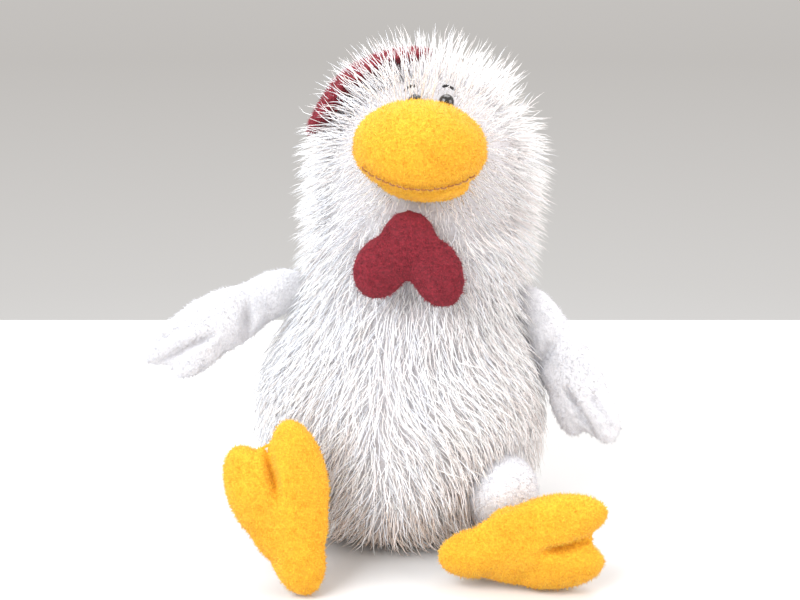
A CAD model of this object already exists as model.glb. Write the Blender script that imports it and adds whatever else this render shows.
import math

import bmesh
import bpy
import numpy as np
from mathutils import Matrix, Vector
from mathutils.kdtree import KDTree


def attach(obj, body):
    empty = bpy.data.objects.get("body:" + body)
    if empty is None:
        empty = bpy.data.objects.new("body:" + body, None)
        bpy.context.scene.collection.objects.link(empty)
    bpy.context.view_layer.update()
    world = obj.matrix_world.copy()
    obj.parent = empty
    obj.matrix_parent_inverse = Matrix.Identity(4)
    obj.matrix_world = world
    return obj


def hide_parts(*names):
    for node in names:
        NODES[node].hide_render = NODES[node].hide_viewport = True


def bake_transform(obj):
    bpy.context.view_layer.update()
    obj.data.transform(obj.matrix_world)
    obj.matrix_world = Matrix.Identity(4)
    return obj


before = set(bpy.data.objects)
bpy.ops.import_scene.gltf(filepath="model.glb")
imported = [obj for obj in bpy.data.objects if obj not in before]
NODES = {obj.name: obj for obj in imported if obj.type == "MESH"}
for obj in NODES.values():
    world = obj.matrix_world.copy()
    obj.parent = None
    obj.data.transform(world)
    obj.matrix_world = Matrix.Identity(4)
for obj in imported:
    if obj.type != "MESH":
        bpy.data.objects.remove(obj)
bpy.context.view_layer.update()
SCENE = bpy.context.scene
MM = 0.001


# ---------------------------------------------------------------- materials

def new_material(name, roughness, sheen=0.0):
    material = bpy.data.materials.new(name)
    material.use_nodes = True
    tree = material.node_tree
    shader = tree.nodes["Principled BSDF"]
    shader.inputs["Roughness"].default_value = roughness
    shader.inputs["Sheen Weight"].default_value = sheen
    shader.inputs["Sheen Roughness"].default_value = 0.45
    return material, tree, shader


def noise_node(tree, scale, detail=3.0, rough=0.6):
    place = tree.nodes.new("ShaderNodeTexCoord")
    texture = tree.nodes.new("ShaderNodeTexNoise")
    texture.inputs["Scale"].default_value = scale
    texture.inputs["Detail"].default_value = detail
    texture.inputs["Roughness"].default_value = rough
    tree.links.new(place.outputs["Object"], texture.inputs["Vector"])
    return texture


def ramp_node(tree, factor, stops):
    ramp = tree.nodes.new("ShaderNodeValToRGB")
    while len(ramp.color_ramp.elements) < len(stops):
        ramp.color_ramp.elements.new(0.5)
    for element, (at, colour) in zip(ramp.color_ramp.elements, stops):
        element.position = at
        element.color = (*colour, 1)
    tree.links.new(factor, ramp.inputs["Fac"])
    return ramp


def add_bump(tree, shader, scale, strength, depth):
    texture = noise_node(tree, scale, 4.0, 0.7)
    bump = tree.nodes.new("ShaderNodeBump")
    bump.inputs["Strength"].default_value = strength
    bump.inputs["Distance"].default_value = depth
    tree.links.new(texture.outputs["Fac"], bump.inputs["Height"])
    tree.links.new(bump.outputs["Normal"], shader.inputs["Normal"])


def cloth_material(name, dark, middle, light, roughness=0.85, sheen=0.4, grain=900.0, bump=0.6):
    """Fabric with a fine grain of three shades, broader patches of shade and a raised nap."""
    material, tree, shader = new_material(name, roughness, sheen)
    grain_node = noise_node(tree, grain, 4.0, 0.75)
    fine = ramp_node(tree, grain_node.outputs["Fac"], ((0.32, dark), (0.5, middle), (0.68, light)))
    patches = noise_node(tree, 45.0, 2.0)
    shade = ramp_node(tree, patches.outputs["Fac"], ((0.3, (0.86, 0.86, 0.86)), (0.7, (1.0, 1.0, 1.0))))
    mix = tree.nodes.new("ShaderNodeMix")
    mix.data_type = "RGBA"
    mix.blend_type = "MULTIPLY"
    mix.inputs["Factor"].default_value = 1.0
    tree.links.new(fine.outputs["Color"], mix.inputs["A"])
    tree.links.new(shade.outputs["Color"], mix.inputs["B"])
    tree.links.new(mix.outputs["Result"], shader.inputs["Base Color"])
    add_bump(tree, shader, grain * 1.3, bump, 0.0008)
    return material


def thread_material(name, colour, roughness=0.7, sheen=0.3):
    """One even tint of yarn, whose variety comes from using several tints together."""
    material, _, shader = new_material(name, roughness, sheen)
    shader.inputs["Base Color"].default_value = (*colour, 1)
    return material


def gloss_material(name, colour, roughness):
    material, tree, shader = new_material(name, roughness)
    shader.inputs["Coat Weight"].default_value = 0.6
    shader.inputs["Coat Roughness"].default_value = 0.04
    wear = noise_node(tree, 400.0)
    tone = tuple(min(1.0, part * 1.6 + 0.004) for part in colour)
    ramp = ramp_node(tree, wear.outputs["Fac"], ((0.35, colour), (0.75, tone)))
    tree.links.new(ramp.outputs["Color"], shader.inputs["Base Color"])
    return material


WHITE_SKIN = cloth_material(
    "white_backing", (0.60, 0.58, 0.60), (0.71, 0.69, 0.71), (0.80, 0.78, 0.80))
WHITE_CLOTH = cloth_material(
    "white_plush", (0.66, 0.66, 0.69), (0.78, 0.78, 0.81), (0.87, 0.87, 0.90))
GOLD_CLOTH = cloth_material(
    "golden_plush", (0.66, 0.27, 0.008), (0.84, 0.41, 0.014), (0.95, 0.55, 0.03), sheen=0.08)
RED_CLOTH = cloth_material(
    "crimson_plush", (0.10, 0.004, 0.010), (0.19, 0.007, 0.018), (0.30, 0.014, 0.030), sheen=0.05)
FIBRE = cloth_material(
    "fibre_wadding", (0.62, 0.62, 0.60), (0.76, 0.76, 0.74), (0.88, 0.88, 0.86), grain=260.0)
PELLET_CLOTH = cloth_material(
    "pellet_bag_cloth", (0.55, 0.52, 0.46), (0.68, 0.65, 0.58), (0.78, 0.75, 0.68), grain=1400.0)
PELLETS = cloth_material(
    "pellet_mass", (0.45, 0.46, 0.48), (0.68, 0.69, 0.70), (0.86, 0.87, 0.88),
    roughness=0.45, sheen=0.0, grain=330.0)
EYE_GLOSS = gloss_material("eye_gloss", (0.006, 0.005, 0.005), 0.12)
WASHER = gloss_material("washer_plastic", (0.62, 0.62, 0.60), 0.4)

WHITE_TINTS = [
    thread_material("white_pile_bright", (0.97, 0.97, 0.97)),
    thread_material("white_pile_cool", (0.90, 0.92, 0.97)),
    thread_material("white_pile_warm", (0.96, 0.91, 0.90)),
    thread_material("white_pile_shade", (0.87, 0.83, 0.81)),
    thread_material("white_pile_dusk", (0.80, 0.68, 0.60)),
]
GOLD_TINTS = [
    thread_material("golden_pile_bright", (0.98, 0.62, 0.045), sheen=0.08),
    thread_material("golden_pile_middle", (0.93, 0.50, 0.022), sheen=0.08),
    thread_material("golden_pile_deep", (0.84, 0.36, 0.010), sheen=0.08),
]
RED_TINTS = [
    thread_material("crimson_pile_bright", (0.33, 0.018, 0.036), sheen=0.05),
    thread_material("crimson_pile_middle", (0.23, 0.009, 0.022), sheen=0.05),
    thread_material("crimson_pile_deep", (0.14, 0.005, 0.013), sheen=0.05),
]
WING_TINTS = [
    thread_material("wing_pile_bright", (0.84, 0.84, 0.88)),
    thread_material("wing_pile_cool", (0.76, 0.77, 0.83)),
    thread_material("wing_pile_shade", (0.68, 0.68, 0.72)),
]
BLACK_THREAD = thread_material("black_thread", (0.012, 0.010, 0.011), 0.55)
BROWN_THREAD = thread_material("brown_thread", (0.36, 0.13, 0.012), 0.7)


# ---------------------------------------------------------------- mesh helpers

def link_mesh(name, mesh, body, replaced=()):
    piece = bpy.data.objects.new(name, mesh)
    SCENE.collection.objects.link(piece)
    settle(piece, body, replaced)
    return piece


def settle(piece, body, replaced=()):
    if body:
        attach(piece, body)
    if replaced:
        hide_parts(*replaced)


def mesh_from_arrays(name, points, quads, triangles, quad_tints=None, triangle_tints=None):
    mesh = bpy.data.meshes.new(name)
    mesh.vertices.add(len(points))
    mesh.vertices.foreach_set("co", np.asarray(points, np.float32).ravel())
    loops = np.concatenate((quads.ravel(), triangles.ravel()))
    mesh.loops.add(len(loops))
    mesh.loops.foreach_set("vertex_index", loops.astype(np.int32))
    sizes = np.concatenate((np.full(len(quads), 4), np.full(len(triangles), 3)))
    starts = np.concatenate(((0,), np.cumsum(sizes)[:-1]))
    mesh.polygons.add(len(sizes))
    mesh.polygons.foreach_set("loop_start", starts.astype(np.int32))
    mesh.polygons.foreach_set("loop_total", sizes.astype(np.int32))
    if quad_tints is not None:
        tints = np.concatenate((quad_tints, triangle_tints))
        mesh.polygons.foreach_set("material_index", tints.astype(np.int32))
    mesh.polygons.foreach_set("use_smooth", np.ones(len(sizes), bool))
    mesh.update(calc_edges=True)
    return mesh


def read_points(mesh):
    points = np.empty(len(mesh.vertices) * 3, np.float32)
    mesh.vertices.foreach_get("co", points)
    return points.reshape(-1, 3).astype(float)


def write_points(mesh, points):
    mesh.vertices.foreach_set("co", np.asarray(points, np.float32).ravel())
    mesh.update()


def read_normals(mesh):
    normals = np.empty(len(mesh.vertices) * 3, np.float32)
    mesh.vertices.foreach_get("normal", normals)
    return normals.reshape(-1, 3).astype(float)


def unit(vectors):
    lengths = np.linalg.norm(vectors, axis=-1, keepdims=True)
    return vectors / np.maximum(lengths, 1e-9)


def wavy(points, scale, seed, octaves=2):
    """Smooth noise of three independent channels, each about -1 to 1, from sums of sines."""
    random = np.random.default_rng(seed)
    total = np.zeros((len(points), 3))
    for octave in range(octaves):
        for _ in range(4):
            way = unit(random.normal(size=3)) * scale * 2**octave * random.uniform(0.6, 1.4)
            phase = random.uniform(0, 2 * math.pi, 3)
            turn = points @ way
            total += np.sin(turn[:, None] + phase) * 0.42 / 2 ** (0.7 * octave)
    return total


def tubes(name, paths, widths, tints, materials, taper=0.75):
    """Three-sided closed strands: paths is (strands, points, 3), widths is the root radius of each."""
    count, steps, _ = paths.shape
    along = unit(np.gradient(paths, axis=1))
    random = np.random.default_rng(len(name) + count)
    side = unit(np.cross(along, random.normal(size=(count, 1, 3))))
    other = np.cross(along, side)
    t = np.linspace(0, 1, steps)[None, :, None]
    radius = widths[:, None, None] * (1 - taper * t**2.2)
    rings = []
    for corner in range(3):
        angle = corner * 2 * math.pi / 3
        rings.append(paths + radius * (math.cos(angle) * side + math.sin(angle) * other))
    points = np.stack(rings, 2)[:, :-1].reshape(count, -1, 3)
    points = np.concatenate((points, paths[:, -1:]), 1)
    per_strand = points.shape[1]
    quads = []
    for step in range(steps - 2):
        for corner in range(3):
            after = (corner + 1) % 3
            low, high = step * 3, step * 3 + 3
            quads.append((low + corner, low + after, high + after, high + corner))
    last = (steps - 2) * 3
    triangles = [(last, last + 1, per_strand - 1), (last + 1, last + 2, per_strand - 1),
                 (last + 2, last, per_strand - 1), (2, 1, 0)]
    shifts = (np.arange(count) * per_strand)[:, None, None]
    quads = (np.array(quads)[None] + shifts).reshape(-1, 4)
    triangles = (np.array(triangles)[None] + shifts).reshape(-1, 3)
    quad_tints = np.repeat(tints, len(quads) // count)
    triangle_tints = np.repeat(tints, len(triangles) // count)
    mesh = mesh_from_arrays(name, points.reshape(-1, 3), quads, triangles, quad_tints, triangle_tints)
    for material in materials:
        mesh.materials.append(material)
    return mesh


def spikes(name, roots, ways, lengths, widths, tints, materials):
    """Short pile: each tuft is a three-sided closed point."""
    count = len(roots)
    ways = unit(ways)
    random = np.random.default_rng(count)
    side = unit(np.cross(ways, random.normal(size=(count, 3))))
    other = np.cross(ways, side)
    corners = []
    for corner in range(3):
        angle = corner * 2 * math.pi / 3
        corners.append(roots + widths[:, None] * (math.cos(angle) * side + math.sin(angle) * other))
    points = np.stack((*corners, roots + ways * lengths[:, None]), 1)
    triangles = np.array([(0, 1, 3), (1, 2, 3), (2, 0, 3)])[None] + (np.arange(count) * 4)[:, None, None]
    triangles = triangles.reshape(-1, 3)
    quads = np.zeros((0, 4), int)
    mesh = mesh_from_arrays(
        name, points.reshape(-1, 3), quads, triangles, np.zeros(0), np.repeat(tints, 3))
    for material in materials:
        mesh.materials.append(material)
    return mesh


def triangles_of(mesh):
    mesh.calc_loop_triangles()
    corners = np.empty(len(mesh.loop_triangles) * 3, np.int32)
    mesh.loop_triangles.foreach_get("vertices", corners)
    return corners.reshape(-1, 3)


def scatter(mesh, per_square_mm, seed):
    """Random places on a mesh, with their normals."""
    points, corners, normals = read_points(mesh), triangles_of(mesh), read_normals(mesh)
    a, b, c = (points[corners[:, n]] for n in range(3))
    areas = np.linalg.norm(np.cross(b - a, c - a), axis=1) / 2
    count = int(areas.sum() * 1e6 * per_square_mm)
    random = np.random.default_rng(seed)
    chosen = np.searchsorted(np.cumsum(areas) / areas.sum(), random.uniform(size=count))
    chosen = np.minimum(chosen, len(corners) - 1)
    u, v = random.uniform(size=(2, count, 1))
    flip = (u + v) > 1
    u, v = np.where(flip, 1 - u, u), np.where(flip, 1 - v, v)
    places = a[chosen] * (1 - u - v) + b[chosen] * u + c[chosen] * v
    mixed = sum(normals[corners[chosen, n]] * w for n, w in enumerate((1 - u - v, u, v)))
    return places, unit(mixed)


# ---------------------------------------------------------------- the body's form

# Height, radius and sideways lean of the round sections, in mm, up to the half ball of the crown.
SECTIONS = np.array([
    (0.0, 36.0, 0.0), (4.0, 45.5, 0.0), (9.0, 53.0, 0.0), (18.0, 60.5, 0.0), (30.0, 66.0, 0.0),
    (46.0, 69.8, 0.0), (62.0, 71.0, 0.0), (76.0, 69.3, 0.3), (90.0, 65.0, 1.0), (101.0, 60.4, 2.0),
    (112.0, 55.5, 3.0), (119.0, 52.7, 4.0), (127.0, 50.5, 5.0), (140.0, 48.5, 7.5), (152.0, 47.9, 9.2),
    (164.0, 48.0, 10.5), (176.0, 48.1, 11.6), (186.0, 48.0, 12.0), (240.0, 48.0, 12.0),
]) * MM
CROWN = np.array((12.0, 0.0, 186.0)) * MM
CROWN_RADIUS = 48.0 * MM
BACKING_DEPTH = 1.6 * MM  # how far the backing cloth lies under the form that the pile grows from
SKIN_OFF_FLOOR = 0.6 * MM


def section_at(height):
    height = np.clip(height, 0, SECTIONS[-1, 0])
    radius = np.interp(height, SECTIONS[:, 0], SECTIONS[:, 1])
    ahead = np.interp(height + 3 * MM, SECTIONS[:, 0], SECTIONS[:, 1])
    behind = np.interp(np.maximum(height - 3 * MM, 0), SECTIONS[:, 0], SECTIONS[:, 1])
    return radius, (ahead - behind) / (6 * MM), np.interp(height, SECTIONS[:, 0], SECTIONS[:, 2])


def over_body(points):
    """Height of each point over the body's form, and the form's normal there."""
    radius, slope, lean = section_at(points[:, 2])
    sideways = points[:, :2] - np.stack((lean, np.zeros(len(lean))), 1)
    reach = np.linalg.norm(sideways, axis=1)
    flat = sideways / np.maximum(reach, 1e-6)[:, None]
    steep = np.sqrt(1 + slope**2)
    normals = np.column_stack((flat / steep[:, None], -slope / steep))
    rise = (reach - radius) / steep
    from_crown = points - CROWN
    distance = np.linalg.norm(from_crown, axis=1)
    on_crown = points[:, 2] > CROWN[2]
    rise = np.where(on_crown, distance - CROWN_RADIUS, rise)
    normals = np.where(on_crown[:, None], unit(from_crown), normals)
    return rise, normals


def body_rings(spacing):
    """Heights, radii and leans of rings that are one spacing apart along the form."""
    heights = np.linspace(0, CROWN[2], 900)
    radius, _, lean = section_at(heights)
    crown = np.linspace(0, math.pi / 2, 400)[1:]
    heights = np.concatenate((heights, CROWN[2] + CROWN_RADIUS * np.sin(crown)))
    radius = np.concatenate((radius, CROWN_RADIUS * np.cos(crown)))
    lean = np.concatenate((lean, np.full(len(crown), CROWN[0])))
    steps = np.hypot(np.diff(heights), np.diff(radius))
    distance = np.concatenate(((0,), np.cumsum(steps)))
    at = np.arange(spacing / 2, distance[-1], spacing)
    return np.stack([np.interp(at, distance, line) for line in (heights, radius, lean)], 1)


def ring_points(height, radius, lean, turns):
    return np.column_stack((
        lean + radius * np.cos(turns), radius * np.sin(turns), np.full(len(turns), height)))


def body_seeds(spacing, seed):
    """Evenly scattered roots over the whole body."""
    random = np.random.default_rng(seed)
    seeds = []
    for height, radius, lean in body_rings(spacing):
        count = max(1, round(2 * math.pi * radius / spacing))
        turns = (np.arange(count) + random.uniform(size=count) * 0.9) * 2 * math.pi / count
        ring = ring_points(height, radius, lean, turns)
        ring[:, 2] += random.uniform(-0.45, 0.45, count) * spacing
        seeds.append(ring)
    seeds = np.concatenate(seeds)
    seeds[:, 2] = np.maximum(seeds[:, 2], 0.5 * MM)
    rise, normals = over_body(seeds)
    return seeds - normals * rise[:, None]


def body_skin():
    """The backing cloth of the long pile: one skin from the seat to the crown."""
    mesh = bpy.data.meshes.new("body_backing")
    form = bmesh.new()
    around = 72
    rows = []
    for height, radius, lean in body_rings(3.2 * MM):
        turns = np.arange(around) * 2 * math.pi / around
        ring = ring_points(height, radius, lean, turns)
        _, normals = over_body(ring)
        lumps = wavy(ring, 70.0, 5)[:, :1] * 0.9 * MM
        ring = ring - normals * BACKING_DEPTH + normals * lumps
        ring[:, 2] = np.maximum(ring[:, 2], SKIN_OFF_FLOOR)
        rows.append([form.verts.new(point) for point in ring])
    for low, high in zip(rows, rows[1:]):
        for n in range(around):
            after = (n + 1) % around
            form.faces.new((low[n], low[after], high[after], high[n]))
    top = form.verts.new(CROWN + np.array((0, 0, CROWN_RADIUS - BACKING_DEPTH)))
    for n in range(around):
        form.faces.new((rows[-1][n], rows[-1][(n + 1) % around], top))
    floor = form.verts.new((0, 0, SKIN_OFF_FLOOR))
    for n in range(around):
        form.faces.new((rows[0][(n + 1) % around], rows[0][n], floor))
    for face in form.faces:
        face.smooth = True
    form.to_mesh(mesh)
    form.free()
    mesh.materials.append(WHITE_SKIN)
    return mesh


# ---------------------------------------------------------------- long pile

PARTING_X = -7.0 * MM
PILE_SPACING = 2.25 * MM
NECK_BASE, NECK_TOP = 110, 150  # mm, the roots of the neck's pile
FACE_TURN = 4.5  # degrees, towards the toy's left
EYE_RISE = 47.0
EYE_SPREAD = 12.5


def comb_way(points, random_way):
    """Which way the pile is brushed at each point, before it is laid along the form."""
    x, y, z = points.T
    front = np.clip(-y / (60 * MM), 0, 1)
    low = np.clip((122 * MM - z) / (60 * MM), 0, 1)
    from_parting = (x - PARTING_X) / (13 * MM)
    spread = np.tanh(from_parting) * np.exp(-np.abs(from_parting) * 0.13) * front * low
    way = np.zeros_like(points)
    way[:, 2] = -1.0
    way[:, 0] = spread * 1.0
    crown = np.clip((z - 190 * MM) / (30 * MM), 0, 1)
    way[:, 2] += crown * 1.3
    way[:, :2] += crown[:, None] * unit(points[:, :2] - CROWN[:2]) * 0.4
    way += wavy(points, 95.0, 11) * 0.22 + random_way * 0.26
    return way


def grow(seeds, lengths, lifts, steps, seed):
    """Paths of strands that stand out of the form on the head, and lie over it lower down."""
    random = np.random.default_rng(seed)
    random_way = random.normal(size=seeds.shape)
    tilt = random.normal(size=seeds.shape) * 0.16
    upright = np.clip((seeds[:, 2] - 110 * MM) / (60 * MM), 0, 1)
    outward = (0.62 + 1.15 * upright) * lifts
    paths = [seeds]
    points = seeds.copy()
    step = (lengths / (steps - 1))[:, None]
    for number in range(1, steps):
        t = number / (steps - 1)
        _, normals = over_body(points)
        way = comb_way(points, random_way)
        way -= normals * (way * normals).sum(1, keepdims=True)
        way = unit(way) * (1.0 - 0.45 * upright)[:, None] + tilt
        lift = (outward * (1.15 - (0.8 - 0.35 * upright) * t))[:, None]
        fall = np.array((0, 0, -1.0)) * (0.05 + 0.35 * t) * (1 - 0.6 * upright)[:, None]
        points = points + unit(way + normals * lift + fall) * step
        rise, normals = over_body(points)
        least = 0.7 * MM + 1.6 * MM * t
        points = points + normals * np.maximum(least - rise, 0)[:, None]
        points[:, 2] = np.maximum(points[:, 2], 0.9 * MM)
        paths.append(points)
    return np.stack(paths, 1)


def crinkle(paths, amount, seed):
    """A slight wave along each strand, of its own phase and pitch."""
    count, steps, _ = paths.shape
    random = np.random.default_rng(seed)
    along = unit(np.gradient(paths, axis=1))
    side = unit(np.cross(along, random.normal(size=(count, 1, 3))))
    other = np.cross(along, side)
    t = np.linspace(0, 1, steps)[None, :, None]
    pitch = random.uniform(1.2, 2.6, (count, 1, 1)) * 2 * math.pi
    phase = random.uniform(0, 2 * math.pi, (2, count, 1, 1))
    size = amount * random.uniform(0.3, 1.3, (count, 1, 1)) * np.minimum(t * 3, 1)
    wave = np.sin(pitch * t + phase[0]) * side + np.sin(pitch * t * 0.8 + phase[1]) * other
    return paths + size * wave


def gather(paths, share, pull, seed):
    """Strands draw together towards a few leaders, as a worn pile falls into locks."""
    random = np.random.default_rng(seed)
    count = len(paths)
    leaders = random.choice(count, max(2, int(count * share)), replace=False)
    tree = KDTree(len(leaders))
    for number, leader in enumerate(leaders):
        tree.insert(paths[leader, 0], number)
    tree.balance()
    nearest = np.array([tree.find(point)[1] for point in paths[:, 0]])
    t = np.linspace(0, 1, paths.shape[1])[None, :, None]
    own = random.uniform(0.3, 1.0, (count, 1, 1)) * pull
    return paths + (paths[leaders[nearest]] - paths) * own * t**1.4


def body_tints(paths, seed):
    random = np.random.default_rng(seed)
    middle = paths[:, paths.shape[1] // 2]
    count = len(middle)
    pick = random.uniform(size=count)
    side = np.clip(middle[:, 0] / (70 * MM), -1, 1)
    low = np.clip((70 * MM - middle[:, 2]) / (70 * MM), 0, 1)
    warm = 0.16 + 0.14 * side + 0.22 * low
    cool = 0.24 - 0.16 * side - 0.10 * low
    shade = 0.12 + 0.08 * low
    tints = np.zeros(count, int)
    tints[pick < cool] = 1
    tints[(pick >= cool) & (pick < cool + warm)] = 2
    tints[pick > 1 - shade] = 3
    dusk = np.clip((34 * MM - middle[:, 2]) / (34 * MM), 0, 1) * 0.75
    tints[random.uniform(size=count) < dusk] = 4
    return tints


def face_way(rise, spread):
    """The direction out of the crown at a rise and a spread from the middle of the face, in degrees."""
    rise, spread = math.radians(rise), math.radians(FACE_TURN + spread)
    level = math.cos(rise)
    return np.array((level * math.sin(spread), -level * math.cos(spread), math.sin(rise)))


def eye_centre(side):
    return CROWN + face_way(EYE_RISE, EYE_SPREAD * side) * (CROWN_RADIUS + 2.2 * MM)


def near(centre, sizes):
    """A test for points inside an oval, given in mm."""
    centre, sizes = np.array(centre) * MM, np.array(sizes) * MM

    def inside(points):
        return (((points - centre) / sizes) ** 2).sum(1) < 1

    return inside


def blocked(seeds):
    """Roots that would sit under the bill, a leg, the wattle or the toy's left eye."""
    hidden = np.zeros(len(seeds), bool)
    for centre, sizes in (
        ((9, -57, 204), (27, 40, 18)), ((11, -52, 185), (18, 30, 7)),
        ((-47, -42, 38), (15, 22, 15)), ((44, -42, 38), (15, 22, 15)),
        ((4, -50, 172), (10, 12, 4)), (eye_centre(1) / MM, (6, 6, 6)),
    ):
        hidden |= near(centre, sizes)(seeds)
    return hidden


def bend_at_neck(piece):
    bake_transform(piece)


def long_pile():
    seeds = body_seeds(PILE_SPACING, 21)
    seeds = seeds[~blocked(seeds)]
    random = np.random.default_rng(22)
    count = len(seeds)
    lengths = random.uniform(14, 22, count) * MM
    high = seeds[:, 2] > 205 * MM
    lengths[high] *= random.uniform(0.7, 1.2, high.sum())
    low = seeds[:, 2] < 14 * MM
    lengths[low] *= 0.6
    face = (seeds[:, 1] < -20 * MM) & (seeds[:, 2] > 165 * MM)
    lengths[face] *= 0.55
    lifts = random.uniform(0.55, 1.25, count)
    behind = near((4, -48, 152), (27, 20, 25))(seeds)
    lengths[behind] *= 0.5
    lifts[behind] *= 0.25
    top = (seeds[:, 2] > 219 * MM) & (random.uniform(size=count) < 0.4)
    lengths[top] = random.uniform(18, 27, top.sum()) * MM
    lifts[top] *= 2.4
    paths = grow(seeds, lengths, lifts, 6, 23)
    paths = gather(paths, 0.2, 0.10, 24)
    paths = crinkle(paths, 0.3 * MM, 25)
    paths[:, :, 2] = np.maximum(paths[:, :, 2], 0.8 * MM)
    widths = random.uniform(0.22, 0.34, count) * MM
    tints = body_tints(paths, 26)
    root = seeds[:, 2] / MM
    front = seeds[:, 1] < 0
    groups = {
        "torso_front_pile": ((root < NECK_BASE) & front, "torso"),
        "torso_back_pile": ((root < NECK_BASE) & ~front, "torso"),
        "neck_pile": ((root >= NECK_BASE) & (root < NECK_TOP), None),
        "head_front_pile": ((root >= NECK_TOP) & front, "head"),
        "head_back_pile": ((root >= NECK_TOP) & ~front, "head"),
    }
    for name, (members, body) in groups.items():
        mesh = tubes(name, paths[members], widths[members], tints[members], WHITE_TINTS)
        piece = link_mesh(name, mesh, body)
        if body is None:
            bend_at_neck(piece)


def build_body():
    panels = [f"{part}_{face}_{side}_panel" for part in ("torso", "head") for face in ("front", "back")
              for side in ("left", "right")]
    skin = link_mesh("body_backing", body_skin(), None, (*panels, "seat_panel"))
    bend_at_neck(skin)
    long_pile()


# ---------------------------------------------------------------- stuffed short-pile pieces

def joined_copy(name, nodes):
    """One mesh that holds the outsides of several CAD nodes."""
    form = bmesh.new()
    for node in nodes:
        form.from_mesh(NODES[node].data)
    bmesh.ops.remove_doubles(form, verts=form.verts, dist=0.02 * MM)
    mesh = bpy.data.meshes.new(name)
    form.to_mesh(mesh)
    form.free()
    return mesh


def apply_modifiers(piece):
    bpy.context.view_layer.update()
    graph = bpy.context.evaluated_depsgraph_get()
    made = bpy.data.meshes.new_from_object(piece.evaluated_get(graph))
    piece.modifiers.clear()
    piece.data = made


def keep_outside(mesh):
    """Drop everything but the largest closed shell."""
    form = bmesh.new()
    form.from_mesh(mesh)
    left = set(form.verts)
    shells = []
    while left:
        start = left.pop()
        shell, edge = {start}, [start]
        while edge:
            vert = edge.pop()
            for link in vert.link_edges:
                other = link.other_vert(vert)
                if other not in shell:
                    shell.add(other)
                    left.discard(other)
                    edge.append(other)
        shells.append(shell)

    def size(shell):
        points = np.array([vert.co for vert in shell])
        return np.linalg.norm(points.max(0) - points.min(0))

    largest = max(shells, key=size)
    bmesh.ops.delete(form, geom=[vert for vert in form.verts if vert not in largest], context="VERTS")
    form.to_mesh(mesh)
    form.free()


SWELL_FRAMES = 20
PAD_OFF_FLOOR = 0.3 * MM


def inflate(piece, pinned, pressure, cap):
    """Let the cloth swell under pressure, held where it is sewn to its neighbour."""
    before = read_points(piece.data)
    group = piece.vertex_groups.new(name="sewn")
    held = [int(n) for n in np.nonzero(pinned(before))[0]]
    if held:
        group.add(held, 1.0, "REPLACE")
    cloth = piece.modifiers.new("swell", "CLOTH")
    cloth.settings.quality = 5
    cloth.settings.mass = 0.1
    cloth.settings.tension_stiffness = 12
    cloth.settings.compression_stiffness = 12
    cloth.settings.shear_stiffness = 4
    cloth.settings.bending_stiffness = 0.4
    cloth.settings.use_pressure = True
    cloth.settings.uniform_pressure_force = pressure
    if held:
        cloth.settings.vertex_group_mass = "sewn"
    cloth.settings.effector_weights.gravity = 0
    cloth.collision_settings.use_collision = False
    cloth.point_cache.frame_start = 1
    cloth.point_cache.frame_end = SWELL_FRAMES
    for number in range(1, SWELL_FRAMES + 1):
        SCENE.frame_set(number)
    graph = bpy.context.evaluated_depsgraph_get()
    swollen = piece.evaluated_get(graph).data
    after = read_points(swollen)
    move = after - before
    far = np.linalg.norm(move, axis=1, keepdims=True)
    after = before + move * np.minimum(1, cap / np.maximum(far, 1e-9))
    after[:, 2] = np.maximum(after[:, 2], PAD_OFF_FLOOR)
    piece.modifiers.clear()
    piece.vertex_groups.clear()
    write_points(piece.data, after)
    SCENE.frame_set(1)


def nothing(points):
    return np.zeros(len(points), bool)


def stuff(name, mesh, body, node, place):
    """The wad of fibre inside a sewn limb, drawn in from the finished skin."""
    turn, root = place[:3, :3], place[:3, 3]
    inner = mesh.copy()
    points = read_points(inner) - read_normals(inner) * 1.9 * MM
    own = (points - root) @ turn
    own[:, 2] *= 0.6
    write_points(inner, own @ turn.T + root)
    inner.materials.clear()
    inner.materials.append(FIBRE)
    wad = link_mesh(name, inner, body, (node,))


def moved_filling(name, node, shape):
    """A filling in its CAD shape, moved as its skin was."""
    mesh = joined_copy(name, [node])
    write_points(mesh, shape(read_points(mesh)))
    mesh.materials.append(FIBRE)
    wad = link_mesh(name, mesh, "head", (node,))


def pad(name, nodes, body, material, pinned=nothing, voxel=2.0, shrink=0.7, pressure=4.0,
        cap=2.2, smooth=6, shape=None, stuffing=None):
    """A stuffed piece: the panels' outside, swollen as cloth, with its seams put in afterwards."""
    piece = bpy.data.objects.new(name, joined_copy(name, nodes))
    SCENE.collection.objects.link(piece)
    remesh = piece.modifiers.new("remesh", "REMESH")
    remesh.mode = "VOXEL"
    remesh.voxel_size = voxel * MM
    soften = piece.modifiers.new("soften", "SMOOTH")
    soften.factor = 0.5
    soften.iterations = smooth
    apply_modifiers(piece)
    keep_outside(piece.data)
    points = read_points(piece.data)
    write_points(piece.data, points - read_normals(piece.data) * shrink * MM)
    inflate(piece, pinned, pressure, cap * MM)
    if shape:
        points = read_points(piece.data)
        write_points(piece.data, shape(points))
    if stuffing:
        stuff(name.replace("_form", "_wad"), piece.data, body, *stuffing)
    finer = piece.modifiers.new("finer", "SUBSURF")
    finer.levels = 1
    finer.render_levels = 1
    apply_modifiers(piece)
    piece.data.materials.clear()
    piece.data.materials.append(material)
    piece.data.polygons.foreach_set("use_smooth", np.ones(len(piece.data.polygons), bool))
    settle(piece, body, nodes)
    return piece


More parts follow.
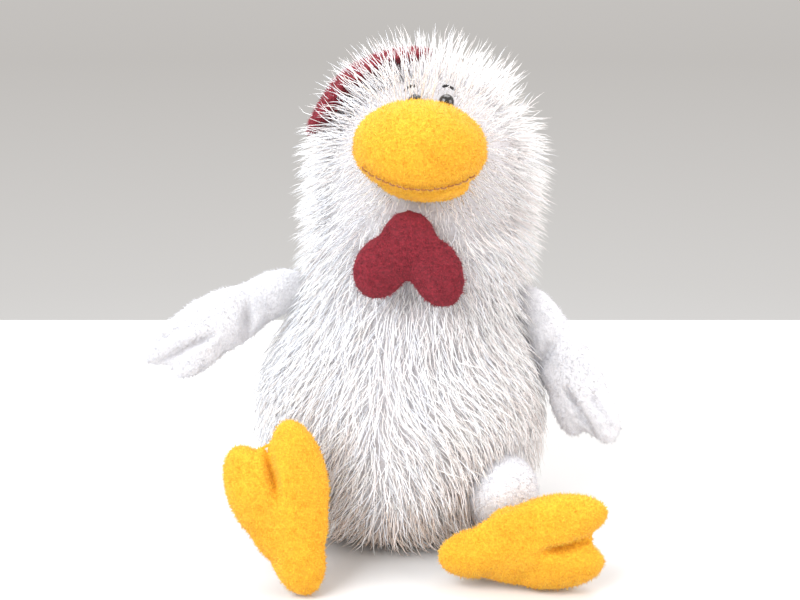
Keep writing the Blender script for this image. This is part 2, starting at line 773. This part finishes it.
def nap(piece, body, materials, per_square_mm, length, brush, seed):
    """Short pile all over a stuffed piece, brushed one way."""
    places, normals = scatter(piece.data, per_square_mm, seed)
    random = np.random.default_rng(seed + 1)
    count = len(places)
    ways = normals + np.array(brush) * 0.7 + random.normal(size=(count, 3)) * 0.38
    ways += wavy(places, 260.0, seed) * 0.3
    lengths = random.uniform(0.65, 1.3, count) * length * MM
    widths = random.uniform(0.75, 1.25, count) * 0.2 * MM
    tints = random.choice(len(materials), count)
    roots = places - normals * 0.3 * MM
    tips_low = roots[:, 2] + unit(ways)[:, 2] * lengths < 0.2 * MM
    ways[tips_low, 2] = 0.15
    mesh = spikes(f"{piece.name}_nap", roots, ways, lengths, widths, tints, materials)
    link_mesh(f"{piece.name}_nap", mesh, body)


def limb_frame(root, yaw, pitch, roll):
    """The placement of a limb's own frame: +X along it, +Y across it and +Z out of its face."""
    turn = Matrix.Rotation(math.radians(yaw), 4, "Z") @ Matrix.Rotation(math.radians(pitch), 4, "Y")
    turn = turn @ Matrix.Rotation(math.radians(roll), 4, "X")
    return np.array(Matrix.Translation(Vector(root) * MM) @ turn)


def step_up(values, start, end):
    t = np.clip((values - start) / (end - start), 0, 1)
    return t * t * (3 - 2 * t)


def stitched(place, depth_at):
    """Pinch a limb to its middle plane along lines sewn through it."""
    turn, root = place[:3, :3], place[:3, 3]

    def shape(points):
        own = (points - root) @ turn / MM
        pinch = np.clip(depth_at(own), 0, 0.92)
        own[:, 2] *= 1 - pinch
        return (own * MM) @ turn.T + root

    return shape


def toe_cleft(flip):
    def depth_at(own):
        along, across = own[:, 0], own[:, 1] * flip
        line = np.exp(-((across - 0.4) / 2.3) ** 2)
        return 0.9 * line * step_up(along, 44, 60)

    return depth_at


def feather_lines(own):
    along, across = own[:, 0], own[:, 1]
    between = np.exp(-((across - 4.6 - 0.05 * (along - 60)) / 1.9) ** 2) * step_up(along, 48, 60)
    upper = np.exp(-((across + 5.2) / 1.7) ** 2) * step_up(along, 56, 70) * 0.3
    elbow = np.exp(-((along - 30 - 0.45 * across) / 3.2) ** 2) * step_up(across, -8, 6) * 0.5
    return np.maximum(np.maximum(0.62 * between, upper), elbow)


def build_feet():
    places = {
        "right": ((-42, -97, 0.4), 146.8, -71.8, -55.5, 1),
        "left": ((17, -86, 13.8), -5.8, -12.0, 95.0, -1),
    }
    for side, (heel, yaw, pitch, roll, flip) in places.items():
        place = limb_frame(heel, yaw, pitch, roll)
        cleft = stitched(place, toe_cleft(flip))
        nodes = [f"{side}_foot_{face}_panel" for face in ("sole", "instep")]
        foot = pad(f"{side}_foot_form", nodes, f"{side}_foot", GOLD_CLOTH,
                   near(heel, (9, 9, 9)), voxel=1.6, shrink=0.9, cap=2.4, shape=cleft,
                   stuffing=(f"{side}_foot_filling", place))
        nap(foot, f"{side}_foot", GOLD_TINTS, 1.25, 1.7, (0, 0, 0.3),
            31 + len(side))
        cuff = pad(f"{side}_ankle_form", [f"{side}_ankle_cuff"], f"{side}_foot",
                   GOLD_CLOTH, voxel=1.5, shrink=0.3, cap=1.0, smooth=3)
        nap(cuff, f"{side}_foot", GOLD_TINTS, 1.2, 1.6, (0, 0, 0.2), 35)


def build_legs():
    for side, x in (("right", -50), ("left", 47)):
        leg = pad(f"{side}_leg_form", [f"{side}_leg_sleeve"], f"{side}_leg",
                  WHITE_CLOTH, near((x, -30, 38), (25, 12, 25)), shrink=0.6, cap=1.6)
        nap(leg, f"{side}_leg", WING_TINTS, 1.1, 1.9, (0, -0.5, -0.4), 41)


def build_wings():
    places = {
        "right": ((-51, -9, 130), -162, 22, -86),
        "left": ((63.5, -10, 124), -25, 56, -90),
    }
    for side, (root, yaw, pitch, roll) in places.items():
        place = limb_frame(root, yaw, pitch, roll)
        lines = stitched(place, feather_lines)
        nodes = [f"{side}_wing_{face}_panel" for face in ("front", "back")]
        wing = pad(f"{side}_wing_form", nodes, f"{side}_wing", WHITE_CLOTH,
                   near(root, (16, 16, 16)), voxel=1.7, shrink=0.8, cap=2.2, shape=lines,
                   stuffing=(f"{side}_wing_filling", place))
        brush = (-0.6, 0, -0.5) if side == "right" else (0.4, 0, -0.8)
        nap(wing, f"{side}_wing", WING_TINTS, 1.0, 1.9, brush, 51)


def build_comb_and_wattle():
    comb = pad("comb_form", ["comb_top_panel", "comb_under_panel"], "comb", RED_CLOTH,
               near((16, 13, 238), (14, 34, 8)), voxel=1.7, shrink=0.5, cap=1.8, smooth=4)
    nap(comb, "comb", RED_TINTS, 1.2, 1.8, (-0.5, 0, -0.3), 61)
    wattle = pad("wattle_form", ["wattle_front_panel", "wattle_back_panel"], "wattle", RED_CLOTH,
                 near((4, -55, 172.5), (18, 8, 7)), voxel=1.7, shrink=0.6, cap=2.0, smooth=4)
    nap(wattle, "wattle", RED_TINTS, 1.2, 1.8, (0, -0.1, -0.4), 62)


def tilted(centre, turn, lift):
    """Turn a form about a level line through the middle of the face and lift it, in degrees and mm."""
    spin = np.array(Matrix.Rotation(math.radians(turn), 3, "Y"))
    middle = np.array(centre) * MM

    def shape(points):
        return (points - middle) @ spin.T + middle + np.array((0, 0, lift * MM))

    return shape


BILL_CENTRE = (9, -57, 204)
bill_set = tilted(BILL_CENTRE, 3.5, -0.6)
lip_set = tilted((11, -52, 185), 3.0, 2.4)


def build_bill():
    bill = pad("upper_bill_form", ["upper_bill_skin"], "head", GOLD_CLOTH,
               near((10, -20, 204), (40, 20, 40)), voxel=2.0, shrink=0.5, cap=1.6, smooth=4,
               shape=bill_set)
    moved_filling("upper_bill_wad", "upper_bill_filling", bill_set)
    nap(bill, "head", GOLD_TINTS, 1.2, 1.7, (0, -0.3, -0.3), 71)
    lip = pad("lower_bill_form", ["lower_bill_skin"], "head", GOLD_CLOTH,
              near((10, -25, 190), (40, 20, 40)), voxel=1.5, shrink=0.1, cap=1.0, smooth=3,
              shape=lip_set)
    moved_filling("lower_bill_wad", "lower_bill_filling", lip_set)
    nap(lip, "head", GOLD_TINTS, 1.1, 1.3, (0, -0.3, -0.2), 72)


# ---------------------------------------------------------------- eyes, brows and mouth

def lathe(name, profile, place, material, around=40):
    mesh = bpy.data.meshes.new(name)
    form = bmesh.new()
    rows = []
    for radius, height in profile:
        if radius < 1e-6:
            rows.append([form.verts.new((0, 0, height * MM))] * around)
            continue
        turns = np.arange(around) * 2 * math.pi / around
        rows.append([form.verts.new((radius * MM * math.cos(a), radius * MM * math.sin(a), height * MM))
                     for a in turns])
    for low, high in zip(rows, rows[1:]):
        for n in range(around):
            after = (n + 1) % around
            corners = []
            for vert in (low[n], low[after], high[after], high[n]):
                if vert not in corners:
                    corners.append(vert)
            form.faces.new(corners)
    bmesh.ops.recalc_face_normals(form, faces=form.faces)
    for face in form.faces:
        face.smooth = True
    form.to_mesh(mesh)
    form.free()
    mesh.transform(place)
    mesh.materials.append(material)
    return mesh


def build_eyes():
    profile = [(0, -9), (1.25, -9), (1.3, -2.2), (2.9, -1.9), (3.35, -1.1), (3.4, -0.5), (3.25, 0.0)]
    for step in range(1, 11):
        angle = step * math.pi / 22
        profile.append((3.2 * math.cos(angle), 2.5 * math.sin(angle)))
    profile.append((0, 2.5))
    for side, sign in (("left", 1), ("right", -1)):
        outward = Vector(face_way(EYE_RISE, EYE_SPREAD * sign)).to_track_quat("Z", "Y")
        place = Matrix.Translation(eye_centre(sign)) @ Matrix.Scale(1.12, 4)
        place = place @ outward.to_matrix().to_4x4()
        mesh = lathe(f"{side}_eye_dome", profile, place, EYE_GLOSS)
        link_mesh(f"{side}_eye_dome", mesh, "head", (f"{side}_eye",))


def twisted_thread(name, route, radius, turns, material):
    """Two plies wound round each other along a route."""
    route = np.array(route, float)
    along = unit(np.gradient(route, axis=0))
    side = unit(np.cross(along, (0.31, 0.2, 0.93)))
    other = np.cross(along, side)
    t = np.linspace(0, 1, len(route))[:, None]
    plies = []
    for ply in range(2):
        angle = 2 * math.pi * turns * t + math.pi * ply
        plies.append(route + radius * 0.55 * (np.cos(angle) * side + np.sin(angle) * other))
    paths = np.stack(plies)
    return tubes(name, paths, np.full(2, radius * 0.75), np.zeros(2, int), [material], 0.25)


def build_brows():
    """Short bars of twisted thread over the eyes, level at the nose and lower at the outside."""
    for side, sign in (("left", 1), ("right", -1)):
        route = []
        for step in np.linspace(-1, 1, 15):
            way = face_way(57.0 - 2.4 * step, sign * (20 + 5.0 * step))
            bow = (3.2 - 1.2 * step * step) * MM
            route.append(CROWN + way * (CROWN_RADIUS + bow))
        mesh = twisted_thread(f"{side}_brow_thread", route, 0.7 * MM, 3, BLACK_THREAD)
        link_mesh(f"{side}_brow_thread", mesh, "head", (f"{side}_eyebrow_stitch",))


def build_mouth():
    """Backstitches along the mouth, sunk in the pile and curving up at both ends."""
    centre = np.array(BILL_CENTRE) * MM
    reach = np.array((31.3, 25.3, 22.3)) * MM
    groups = []
    stitches = 17
    for number in range(stitches):
        route = []
        for step in np.linspace(0, 1, 7):
            at = 2 * (number + 0.05 + 0.9 * step) / stitches - 1
            swing = math.radians(62 * at)
            drop = math.radians(-47 + 24 * at * at)
            bow = 1 + 0.025 * math.sin(step * math.pi)
            level = math.cos(drop)
            way = np.array((level * math.sin(swing), -level * math.cos(swing), math.sin(drop)))
            route.append(centre + reach * bow * way)
        groups.append(bill_set(np.array(route)))
    widths, tints = np.full(stitches, 0.5 * MM), np.zeros(stitches, int)
    mesh = tubes("mouth_thread", np.array(groups), widths, tints, [BROWN_THREAD], 0.2)
    link_mesh("mouth_thread", mesh, "head", ("mouth_stitches",))


# ---------------------------------------------------------------- what stays as it is

def dress_inner_nodes():
    """The hidden nodes keep their CAD shape and get their own materials."""
    for name, node in NODES.items():
        if name.endswith("_filling"):
            material = FIBRE
        elif name == "seat_pellet_bag":
            material = PELLET_CLOTH
        elif name == "seat_pellets":
            material = PELLETS
        elif name.endswith("_lock_washer"):
            material = WASHER
        else:
            continue
        node.data.materials.clear()
        node.data.materials.append(material)


# ---------------------------------------------------------------- stage, light and camera

def build_stage():
    mesh = bpy.data.meshes.new("floor")
    width, near_edge, far_edge = 3.0, -3.0, 0.40
    corners = [(x, y, 0) for x, y in (
        (-width, near_edge), (width, near_edge), (width, far_edge), (-width, far_edge))]
    mesh.from_pydata(corners, [], [(0, 1, 2, 3)])
    floor = bpy.data.objects.new("floor", mesh)
    SCENE.collection.objects.link(floor)
    material, tree, shader = new_material("floor_paper", 0.8)
    patches = noise_node(tree, 3.0)
    shades = ((0.3, (0.70, 0.70, 0.705)), (0.7, (0.74, 0.74, 0.735)))
    ramp = ramp_node(tree, patches.outputs["Fac"], shades)
    tree.links.new(ramp.outputs["Color"], shader.inputs["Base Color"])
    mesh.materials.append(material)


def area_light(name, place, target, size, power, colour):
    light = bpy.data.lights.new(name, "AREA")
    light.shape = "RECTANGLE"
    light.size, light.size_y = size
    light.energy = power
    light.color = colour
    lamp = bpy.data.objects.new(name, light)
    lamp.location = place
    way = Vector(target) - Vector(place)
    lamp.rotation_euler = way.to_track_quat("-Z", "Y").to_euler()
    SCENE.collection.objects.link(lamp)


def build_light():
    """A wall that darkens upwards from the floor's edge, a cool key, a warm fill and a top light."""
    world = bpy.data.worlds.new("studio")
    world.use_nodes = True
    SCENE.world = world
    tree = world.node_tree
    place = tree.nodes.new("ShaderNodeTexCoord")
    split = tree.nodes.new("ShaderNodeSeparateXYZ")
    tree.links.new(place.outputs["Generated"], split.inputs["Vector"])
    level = tree.nodes.new("ShaderNodeMapRange")
    level.inputs["From Min"].default_value = -0.3
    level.inputs["From Max"].default_value = 1.0
    tree.links.new(split.outputs["Z"], level.inputs["Value"])
    stops = ((0.0, (0.74, 0.73, 0.72)), (0.06, (0.66, 0.645, 0.63)), (0.2, (0.54, 0.52, 0.50)),
             (1.0, (0.90, 0.89, 0.88)))
    wall = ramp_node(tree, level.outputs["Result"], stops)
    tree.links.new(wall.outputs["Color"], tree.nodes["Background"].inputs["Color"])
    tree.nodes["Background"].inputs["Strength"].default_value = 1.0
    area_light("key", (-0.75, -0.75, 0.95), (0, 0, 0.1), (0.9, 0.9), 21.0, (0.94, 0.965, 1.0))
    area_light("fill", (0.95, -0.55, 0.55), (0, 0, 0.1), (0.8, 0.8), 8.0, (1.0, 0.94, 0.92))
    area_light("top", (0.1, 0.35, 1.15), (0, 0, 0.12), (0.8, 0.8), 8.0, (1.0, 0.99, 0.98))
    SCENE.view_settings.view_transform = "Standard"


HALF_VIEW = 19  # degrees, from the middle of the frame to its side
ELEVATION = 14
DISTANCE = 0.604
TARGET = (0, 0, 0.118)


def build_camera():
    camera = bpy.data.cameras.new("camera")
    camera.sensor_width = 36
    camera.lens = camera.sensor_width / 2 / math.tan(math.radians(HALF_VIEW))
    camera.clip_start = 0.01
    shooter = bpy.data.objects.new("camera", camera)
    elevation = math.radians(ELEVATION)
    way = Vector((0, -math.cos(elevation), math.sin(elevation)))
    shooter.location = Vector(TARGET) + way * DISTANCE
    shooter.rotation_euler = (math.pi / 2 - elevation, 0, 0)
    SCENE.collection.objects.link(shooter)
    SCENE.camera = shooter


build_body()
build_feet()
build_legs()
build_wings()
build_comb_and_wattle()
build_bill()
build_eyes()
build_brows()
build_mouth()
dress_inner_nodes()
build_stage()
build_light()
build_camera()
